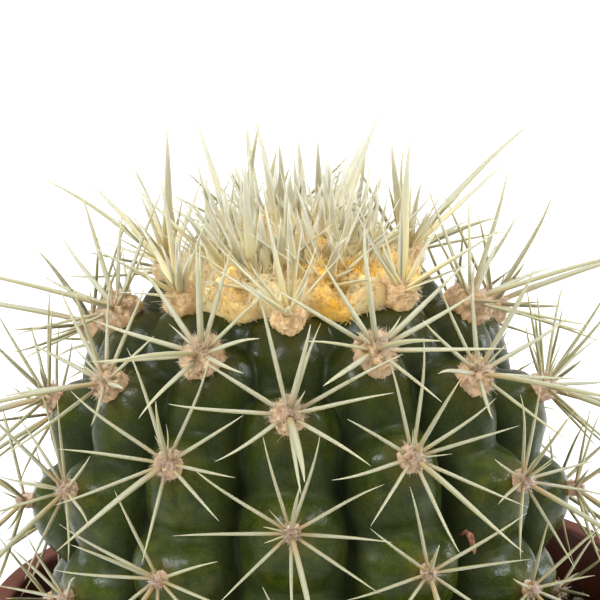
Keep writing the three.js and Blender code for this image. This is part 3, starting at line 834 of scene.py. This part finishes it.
def make_peat():
    low = SOIL_TOP - COLLAR_DEPTH
    edge_r = pot_inside(SOIL_TOP) - PEAT_SHOULDER
    profile = [(0, PEAT_BASE), (pot_inside(POT_WALL) - PEAT_CORNER, PEAT_BASE)]
    for z in np.linspace(POT_WALL + 2, SOIL_TOP - PEAT_SHOULDER, PEAT_WALL_ROWS):
        profile.append((pot_inside(z) - PEAT_GAP, z))
    for r in np.linspace(edge_r, SURFACE_TO_R, PEAT_TOP_ROWS):
        profile.append((r, SOIL_TOP + PEAT_MOUND * smoothstep(MOUND_R - r, 0, MOUND_RUN)))
    profile += [(HOLE_R, SOIL_TOP - HOLE_DEPTH), (COLLAR_R + COLLAR_ROOM, low + 2)]
    profile += [(COLLAR_FOOT_R, low - COLLAR_GAP), (0, low - COLLAR_GAP)]
    shape = Shape()
    revolved(shape, profile, PEAT_SIDES, rough_top, tone=0.4)
    crumbs(shape)
    fibres(shape)
    shape.piece("peat", [peat_material()], "peat", "soil")


def on_soil(count):
    """Random places on the ring of soil between the plant and the pot."""
    angle = rng.uniform(0, 2 * math.pi, count)
    inner, outer = SOIL_RING
    return polar(np.sqrt(rng.uniform(inner**2, outer**2, count)), angle, SOIL_TOP + LITTER_LIFT)


def crumbs(shape):
    """Loose crumbs of peat and grit: small lumpy balls."""
    theta = np.linspace(0, math.pi, CRUMB_RINGS + 2)[1:-1, None]
    ball = polar(np.sin(theta), round_angles(CRUMB_SIDES), -np.cos(theta))
    ball = with_ends(ball, [[0, 0, -1], [0, 0, 1]])
    size = CRUMB_SIZE * rng.uniform(*CRUMB_SIZES_VARY, CRUMBS) ** 2
    stretch = rng.uniform(*CRUMB_STRETCH, (CRUMBS, 1, 3))
    dents = 1 + CRUMB_DENTS * rng.normal(size=(CRUMBS, len(ball), 1))
    points = ball * stretch * dents * size[:, None, None] + on_soil(CRUMBS)[:, None]
    faces = repeated(tube_faces(CRUMB_RINGS, CRUMB_SIDES), CRUMBS, len(ball))
    shape.add(points, faces, tone=np.repeat(rng.random(CRUMBS), len(ball)))


def fibres(shape):
    """Thin bits of root and bark on the soil."""
    roots = on_soil(FIBRES)
    ways = unit(rng.normal(size=(FIBRES, 3)) * [1, 1, FIBRE_STEEPNESS])
    length = rng.uniform(*FIBRE_LENGTH, FIBRES)
    hairs(shape, roots, ways, length, rng.uniform(*FIBRE_THICKNESS, FIBRES), FIBRE_CURL)


# ---- pot ----
POT_SIDES = 180
WALL_ROWS = 30
BASE_FLAT_R = POT_BASE_R - 3
BASE_ROUND = 1.2  # radius of the edge under the wall
LIP_UNDER_ROUND = 0.8
LIP_OUTER_ROUND = 1
LIP_INNER_ROUND = 0.9
FLOOR_ROUND = 1.4
ARC_POINTS = 5
DRILL_LONG = 20
DRILL_SIDES = 40


def arc(cx, cz, radius, start, stop):
    turns = np.radians(np.linspace(start, stop, ARC_POINTS))
    return [(cx + radius * math.cos(a), cz + radius * math.sin(a)) for a in turns]


def make_pot():
    under = POT_HEIGHT - POT_LIP_HEIGHT
    base_x = pot_outside(BASE_ROUND) - BASE_ROUND
    lip_inner_x = pot_inside(POT_HEIGHT) + LIP_INNER_ROUND
    floor_x = pot_inside(POT_WALL) - FLOOR_ROUND
    profile = [(0, 0), (BASE_FLAT_R, 0), *arc(base_x, BASE_ROUND, BASE_ROUND, -90, -8)]
    profile += [(pot_outside(z), z) for z in np.linspace(4, under - 0.8, WALL_ROWS)]
    profile += [(pot_outside(under), under - 0.1), (POT_RIM_R - 1, under)]
    profile += arc(POT_RIM_R - LIP_UNDER_ROUND, under + LIP_UNDER_ROUND, LIP_UNDER_ROUND, -80, 0)
    profile += arc(POT_RIM_R - LIP_OUTER_ROUND, POT_HEIGHT - LIP_OUTER_ROUND, LIP_OUTER_ROUND, 0, 90)
    profile += arc(lip_inner_x, POT_HEIGHT - LIP_INNER_ROUND, LIP_INNER_ROUND, 90, 180)
    profile += [(pot_inside(z), z) for z in np.linspace(POT_HEIGHT - 2, POT_WALL + 2, WALL_ROWS)]
    profile += [*arc(floor_x, POT_WALL + FLOOR_ROUND, FLOOR_ROUND, 0, -90), (0, POT_WALL)]
    shape = Shape()
    revolved(shape, profile, POT_SIDES)
    pot = shape.piece("nursery_pot", [pot_material()], "pot_plastic", "pot")
    for i in range(DRAIN_HOLES):
        drill_hole(pot, 2 * math.pi * i / DRAIN_HOLES)


def drill_hole(pot, angle):
    bpy.ops.mesh.primitive_cylinder_add(
        vertices=DRILL_SIDES,
        radius=DRAIN_R * MM,
        depth=DRILL_LONG * MM,
        location=(DRAIN_RING_R * MM * math.cos(angle), DRAIN_RING_R * MM * math.sin(angle), 0),
    )
    drill = bpy.context.object
    cut = pot.modifiers.new("drain", "BOOLEAN")
    cut.operation = "DIFFERENCE"
    cut.solver = "EXACT"
    cut.object = drill
    bpy.context.view_layer.update()
    mesh = bpy.data.meshes.new_from_object(pot.evaluated_get(bpy.context.evaluated_depsgraph_get()))
    pot.modifiers.clear()
    pot.data = mesh
    bpy.data.objects.remove(drill)


# ---- colours ----
def rgb(red, green, blue):
    """A colour as seen on a screen, 0 to 255, as the linear colour that a shader takes."""
    linear = [c / 255 / 12.92 if c <= 10 else ((c / 255 + 0.055) / 1.055) ** 2.4 for c in (red, green, blue)]
    return (*linear, 1)


SKIN_GREENS = rgb(36, 45, 6), rgb(56, 66, 10)
MOTTLE_GREEN = rgb(26, 36, 5)
YELLOW_GREEN = rgb(82, 82, 13)
PAD_SIDE_GREEN = rgb(88, 80, 32)
BLOOM_GREEN = rgb(70, 82, 52)
DOT_GREEN = rgb(98, 106, 50)
# painted shade: the colour the skin darkens to under the crown's wool and spines
CROWN_SHADE_GREEN = rgb(22, 29, 6)
# painted shade: the colour the skin darkens to in the deep grooves between the ribs
GROOVE_SHADE_GREEN = rgb(22, 28, 7)
SCAR_BROWNS = rgb(104, 66, 46), rgb(182, 130, 100)
SPINE_CREAMS = rgb(153, 152, 133), rgb(170, 168, 150)  # of old and of young ones
SPINE_YELLOWS = rgb(136, 131, 86), rgb(156, 151, 108)
SPINE_ENDS = rgb(150, 122, 72), rgb(108, 82, 56)  # root and tip
CROWN_SPINE = rgb(174, 172, 156), rgb(176, 172, 140), rgb(218, 200, 134), rgb(158, 155, 138)
YOUNG_FELT = rgb(206, 166, 116), rgb(218, 188, 152)
OLD_FELT = rgb(180, 134, 96), rgb(214, 190, 168)
CROWN_FELT = rgb(236, 196, 142)
FELT_HAIR = rgb(226, 206, 176)
FELT_STAIN = rgb(158, 112, 66)
WOOL_CREAMS = rgb(236, 206, 146), rgb(234, 216, 162)
TUFT_CREAM = rgb(240, 226, 178)
WOOL_HAIR = rgb(246, 232, 190)
WOOL_GOLD = rgb(246, 190, 36)
POT_BROWNS = rgb(88, 42, 24), rgb(100, 50, 30)
POT_DUST = rgb(114, 68, 45)
PEAT_BROWNS = rgb(30, 18, 13), rgb(62, 38, 26)
BARK = rgb(110, 78, 52)
GRIT = rgb(150, 138, 120)
FLOOR_WHITE = rgb(243, 243, 243)


# ---- materials ----
class Paint:
    """A node material. Its methods add a node and return the socket that it gives."""

    def __init__(self, name, **shader):
        self.material = bpy.data.materials.new(name)
        self.material.use_nodes = True
        self.tree = self.material.node_tree
        self.shader = self.tree.nodes["Principled BSDF"]
        self.put(self.shader, {key.replace("_", " "): value for key, value in shader.items()})
        self.place = self.node("ShaderNodeTexCoord", {}).outputs["Object"]

    def node(self, kind, inputs, **settings):
        node = self.tree.nodes.new(kind)
        for key, value in settings.items():
            setattr(node, key, value)
        self.put(node, inputs)
        return node

    def put(self, node, inputs):
        for key, value in inputs.items():
            if isinstance(value, bpy.types.NodeSocket):
                self.tree.links.new(value, node.inputs[key])
            else:
                node.inputs[key].default_value = value

    def read(self, name):
        return self.node("ShaderNodeAttribute", {}, attribute_name=name).outputs["Fac"]

    def noise(self, size, detail=3, roughness=0.55, where=None):
        """Noise from 0 to 1 with features of about this size in mm."""
        inputs = {"Vector": where or self.place, "Scale": 1 / (size * MM)}
        inputs |= {"Detail": detail, "Roughness": roughness}
        return self.node("ShaderNodeTexNoise", inputs).outputs["Fac"]

    def cells(self, size):
        inputs = {"Vector": self.place, "Scale": 1 / (size * MM)}
        return self.node("ShaderNodeTexVoronoi", inputs).outputs["Distance"]

    def spread(self, value, low, high, to_low=0, to_high=1):
        """A value's range from low to high, spread to another range and held there."""
        inputs = {"Value": value, "From Min": low, "From Max": high, "To Min": to_low, "To Max": to_high}
        return self.node("ShaderNodeMapRange", inputs).outputs["Result"]

    def calc(self, operation, a, b):
        return self.node("ShaderNodeMath", {0: a, 1: b}, operation=operation).outputs[0]

    def times(self, a, b):
        return self.calc("MULTIPLY", a, b)

    def mix(self, amount, a, b):
        return self.node("ShaderNodeMix", {0: amount, 6: a, 7: b}, data_type="RGBA").outputs[2]

    def coats(self, color, *rows):
        """A colour under coats of other ones, each given as its amount and its colour."""
        for amount, coat in rows:
            color = self.mix(amount, color, coat)
        return color

    def bump(self, height, distance, strength, under=None):
        """A bump of this height in mm."""
        inputs = {"Height": height, "Distance": distance * MM, "Strength": strength}
        if under:
            inputs["Normal"] = under
        return self.node("ShaderNodeBump", inputs).outputs["Normal"]

    def finish(self, color, roughness, **more):
        self.put(self.shader, {"Base Color": color, "Roughness": roughness, **more})
        return self.material


CROWN_SHADE_HEIGHTS = (126 * MM, 152 * MM)  # heights between which painted shade darkens the skin under the crown's wool and spines
GRAIN = 4 * MM  # a spine's size in the noise that streaks it


def skin_material():
    paint = Paint("cactus_skin", Specular_IOR_Level=0.15)
    groove, near = paint.read("groove"), paint.read("near")
    patches = paint.spread(paint.noise(7, 4, 0.6), 0.38, 0.62)
    mottle = paint.spread(paint.noise(1.4, 5, 0.7), 0.35, 0.7)
    yellowed = paint.spread(paint.noise(4, 3), 0.5, 0.75)
    bloom = paint.spread(paint.noise(5, 4, 0.7), 0.55, 0.75)
    height = paint.node("ShaderNodeSeparateXYZ", {0: paint.place}).outputs["Z"]
    color = paint.coats(
        paint.mix(patches, *SKIN_GREENS),
        (paint.times(mottle, 0.6), MOTTLE_GREEN),
        (paint.times(yellowed, 0.5), YELLOW_GREEN),
        (paint.spread(near, 1.7, 0.8, 0, 0.5), PAD_SIDE_GREEN),
        (paint.times(bloom, 0.2), BLOOM_GREEN),
        (paint.spread(paint.cells(0.55), 0.12, 0.3, 0.3, 0), DOT_GREEN),
        # painted shade under the crown, growing with height
        (paint.spread(height, *CROWN_SHADE_HEIGHTS, 0, 0.6), CROWN_SHADE_GREEN),
        # painted shade in the grooves, growing with their depth
        (paint.spread(groove, 0.25, 0.95), GROOVE_SHADE_GREEN),
    )
    roughness = paint.spread(paint.noise(3, 4), 0.3, 0.7, 0.17, 0.34)
    roughness = paint.calc("ADD", roughness, paint.spread(groove, 0.3, 0.7, 0, 0.55))
    normal = paint.bump(paint.noise(2.2, 4, 0.6), 0.25, 0.6)
    normal = paint.bump(paint.noise(0.5, 3, 0.6), 0.06, 0.7, normal)
    return paint.finish(color, roughness, Normal=normal)


def scar_material():
    paint = Paint("scar", Specular_IOR_Level=0.2)
    color = paint.mix(paint.spread(paint.noise(0.7, 4), 0.35, 0.65), *SCAR_BROWNS)
    return paint.finish(color, 0.85, Normal=paint.bump(paint.noise(0.5, 4), 0.3, 0.9))


def spine_color(paint, pale, yellow, amber, brown, golden_to=0.3, edged=0.85):
    """Pale on the flat and yellow at its edges, amber at the root, some brown at the tip."""
    part, edge, tone = paint.read("part"), paint.read("edge"), paint.read("tone")
    grain = {0: paint.times(part, GRAIN), 1: paint.times(paint.read("around"), GRAIN), 2: tone}
    streaks = paint.noise(1.1, 3, 0.6, paint.node("ShaderNodeCombineXYZ", grain).outputs[0])
    color = paint.coats(
        pale,
        (paint.spread(edge, 0.35, 0.9, 0, edged), yellow),
        (paint.spread(streaks, 0.45, 0.7, 0, 0.6), yellow),
        (paint.spread(part, golden_to, 0.05, 0, 0.85), amber),
        (paint.times(paint.spread(part, 0.86, 1), paint.spread(tone, 0.4, 1)), brown),
    )
    return color, streaks


def glowing(weight, radius, scale):
    """Settings for a thing that light shines into, with the scale in mm."""
    return {"Subsurface_Weight": weight, "Subsurface_Radius": radius, "Subsurface_Scale": scale * MM}


def spine_material():
    paint = Paint("spine", **glowing(0.9, (1, 0.9, 0.7), 1))
    young = paint.spread(paint.read("age"), 0.4, 0.05)
    pale = paint.mix(young, *SPINE_CREAMS)
    yellow = paint.mix(young, *SPINE_YELLOWS)
    color, streaks = spine_color(paint, pale, yellow, *SPINE_ENDS)
    return paint.finish(color, 0.45, Normal=paint.bump(streaks, 0.08, 0.7))


def young_spine_material():
    paint = Paint("young_spine", **glowing(0.95, (1, 0.92, 0.8), 1))
    color, streaks = spine_color(paint, *CROWN_SPINE, golden_to=0.65, edged=0.3)
    return paint.finish(color, 0.45, Normal=paint.bump(streaks, 0.06, 0.6))


def felt_material():
    paint = Paint("felt", Specular_IOR_Level=0.1, **glowing(0.5, (1, 0.9, 0.8), 0.8))
    age, tone = paint.read("age"), paint.read("tone")
    young = paint.mix(paint.spread(paint.noise(1.2, 3), 0.35, 0.65), *YOUNG_FELT)
    old = paint.mix(paint.spread(paint.noise(0.8, 3), 0.35, 0.65), *OLD_FELT)
    stains = paint.spread(paint.noise(1.5, 2), 0.56, 0.7, 0, 0.7)
    color = paint.coats(
        young,
        (paint.spread(age, 0.15, 0.5), old),
        (paint.spread(age, -0.1, -0.9), CROWN_FELT),
        (paint.spread(tone, 0.5, 0.9, 0, 0.5), FELT_HAIR),
        (paint.times(stains, paint.spread(age, -0.1, 0.2)), FELT_STAIN),
    )
    return paint.finish(color, 0.9, Normal=paint.bump(paint.noise(0.25, 3), 0.12, 0.8))


def wool_material():
    paint = Paint("wool", Specular_IOR_Level=0.1, **glowing(0.5, (1, 0.9, 0.7), 1))
    golden = paint.times(paint.read("gold"), paint.spread(paint.noise(2.5, 2), 0.35, 0.6, 0.6, 1))
    color = paint.coats(
        paint.mix(paint.spread(paint.noise(4, 3), 0.4, 0.6), *WOOL_CREAMS),
        (paint.times(paint.read("pale"), 0.7), TUFT_CREAM),
        (paint.spread(paint.read("tone"), 0.5, 1, 0, 0.3), WOOL_HAIR),
        (golden, WOOL_GOLD),
    )
    return paint.finish(color, 0.9, Normal=paint.bump(paint.noise(0.3, 3), 0.12, 0.8))


def pot_material():
    paint = Paint("pot_plastic", Specular_IOR_Level=0.16)
    color = paint.mix(paint.noise(14, 3), *POT_BROWNS)
    color = paint.mix(paint.spread(paint.noise(3, 5, 0.7), 0.5, 0.8, 0, 0.3), color, POT_DUST)
    roughness = paint.spread(paint.noise(4, 4), 0.3, 0.7, 0.38, 0.55)
    return paint.finish(color, roughness, Normal=paint.bump(paint.noise(0.5, 2), 0.03, 0.6))


def peat_material():
    paint = Paint("peat", Specular_IOR_Level=0.15)
    tone = paint.read("tone")
    color = paint.mix(paint.noise(1.5, 5, 0.7), *PEAT_BROWNS)
    color = paint.mix(paint.spread(tone, 0.75, 1, 0, 0.9), color, BARK)
    color = paint.mix(paint.spread(tone, 0.97, 0.98), color, GRIT)
    return paint.finish(color, 0.95, Normal=paint.bump(paint.noise(0.7, 5, 0.7), 0.5, 0.9))


def floor_material():
    return Paint("floor", Specular_IOR_Level=0.1).finish(FLOOR_WHITE, 0.9)


# ---- stage and light, in metres ----
FLOOR_HALF = 10
LIT_POINT = Vector((0, 0, 0.12))
SUN = (0.7, (-0.5, -0.6, 1))  # strength and place
SUN_WIDE = math.radians(35)
WINDOW_COLOR = (0.86, 0.93, 1)
SKY_COLOR = (0.88, 0.94, 1)
AREA_LIGHTS = (  # name, watts, place, size and colour
    ("window", 8, (-0.6, -0.5, 0.9), 0.22, WINDOW_COLOR),
    ("left", 2.2, (-1, 0.5, 0.22), 0.16, SKY_COLOR),
    ("right", 2.2, (1, 0.5, 0.22), 0.16, SKY_COLOR),
    ("rim", 6.5, (0.75, -0.1, 0.75), 0.26, SKY_COLOR),
)
OVERHEAD_GLOW = 1.35  # as of a wide soft box
SIDE_GLOW = 0.75
GLOW_RISES = (0.4, 0.85)  # between these heights, of 1 overhead


def make_stage():
    mesh = bpy.data.meshes.new("floor")
    corners = [(-1, -1), (1, -1), (1, 1), (-1, 1)]
    mesh.from_pydata([(x * FLOOR_HALF, y * FLOOR_HALF, 0) for x, y in corners], [], [(0, 1, 2, 3)])
    mesh.materials.append(floor_material())
    floor = add_object("floor", mesh)


def add_light(name, kind, energy, place, **settings):
    data = bpy.data.lights.new(name, kind)
    data.energy = energy
    for key, value in settings.items():
        setattr(data, key, value)
    light = add_object(name, data)
    light.location = place
    light.rotation_euler = (LIT_POINT - Vector(place)).to_track_quat("-Z", "Y").to_euler()


def make_world():
    """White surroundings that are brightest overhead."""
    world = bpy.data.worlds.new("studio")
    bpy.context.scene.world = world
    world.use_nodes = True
    tree = world.node_tree
    background = tree.nodes["Background"]
    way = tree.nodes.new("ShaderNodeSeparateXYZ")
    tree.links.new(tree.nodes.new("ShaderNodeTexCoord").outputs["Generated"], way.inputs[0])
    glow = tree.nodes.new("ShaderNodeMapRange")
    glow.inputs["From Min"].default_value, glow.inputs["From Max"].default_value = GLOW_RISES
    glow.inputs["To Min"].default_value = SIDE_GLOW
    glow.inputs["To Max"].default_value = OVERHEAD_GLOW
    tree.links.new(way.outputs["Z"], glow.inputs["Value"])
    tree.links.new(glow.outputs["Result"], background.inputs["Strength"])
    background.inputs["Color"].default_value = (1, 1, 1, 1)


def make_light():
    make_world()
    add_light("sun", "SUN", *SUN, angle=SUN_WIDE)
    for name, energy, place, size, color in AREA_LIGHTS:
        add_light(name, "AREA", energy, place, size=size, color=color)


# ---- camera ----
# Fitted to the places of the pads and the rim in the photograph.
CAMERA_TILT = math.radians(20.46)
CAMERA_ROLL = math.radians(2.04)
CAMERA_DISTANCE = 0.7
PIXELS_PER_MM = 5.67
PHOTO_SIDE = 600
CENTRE_BELOW = 210  # pixels from the photo's middle down to the plant's centre
CENTRE_RIGHT = 6.5
SENSOR = 36
CLIP_START = 0.01


def make_camera():
    centre = Vector((PLANT_X * MM, 0, EQUATOR_Z * MM))
    focal = PIXELS_PER_MM * CAMERA_DISTANCE / MM
    data = bpy.data.cameras.new("camera")
    data.sensor_width = SENSOR
    data.lens = focal / PHOTO_SIDE * SENSOR
    data.clip_start = CLIP_START
    camera = add_object("camera", data)
    ahead = Vector((0, math.cos(CAMERA_TILT), -math.sin(CAMERA_TILT)))
    up = Vector((0, math.sin(CAMERA_TILT), math.cos(CAMERA_TILT)))
    right = Vector((1, 0, 0))
    raised = math.atan2(CENTRE_BELOW, focal)
    look = ahead * math.cos(raised) + up * math.sin(raised)
    over = up * math.cos(raised) - ahead * math.sin(raised)
    side = right * math.cos(CAMERA_ROLL) - over * math.sin(CAMERA_ROLL)
    top = over * math.cos(CAMERA_ROLL) + right * math.sin(CAMERA_ROLL)
    turn = Matrix.Rotation(math.atan2(-CENTRE_RIGHT, focal), 3, "Z")
    rotation = turn @ Matrix((side, top, -look)).transposed()
    camera.matrix_world = Matrix.Translation(centre - ahead * CAMERA_DISTANCE) @ rotation.to_4x4()
    bpy.context.scene.camera = camera


make_body()
make_sprays()
make_crown()
make_peat()
make_pot()
make_stage()
make_light()
make_camera()
bpy.context.scene.view_settings.view_transform = "Standard"
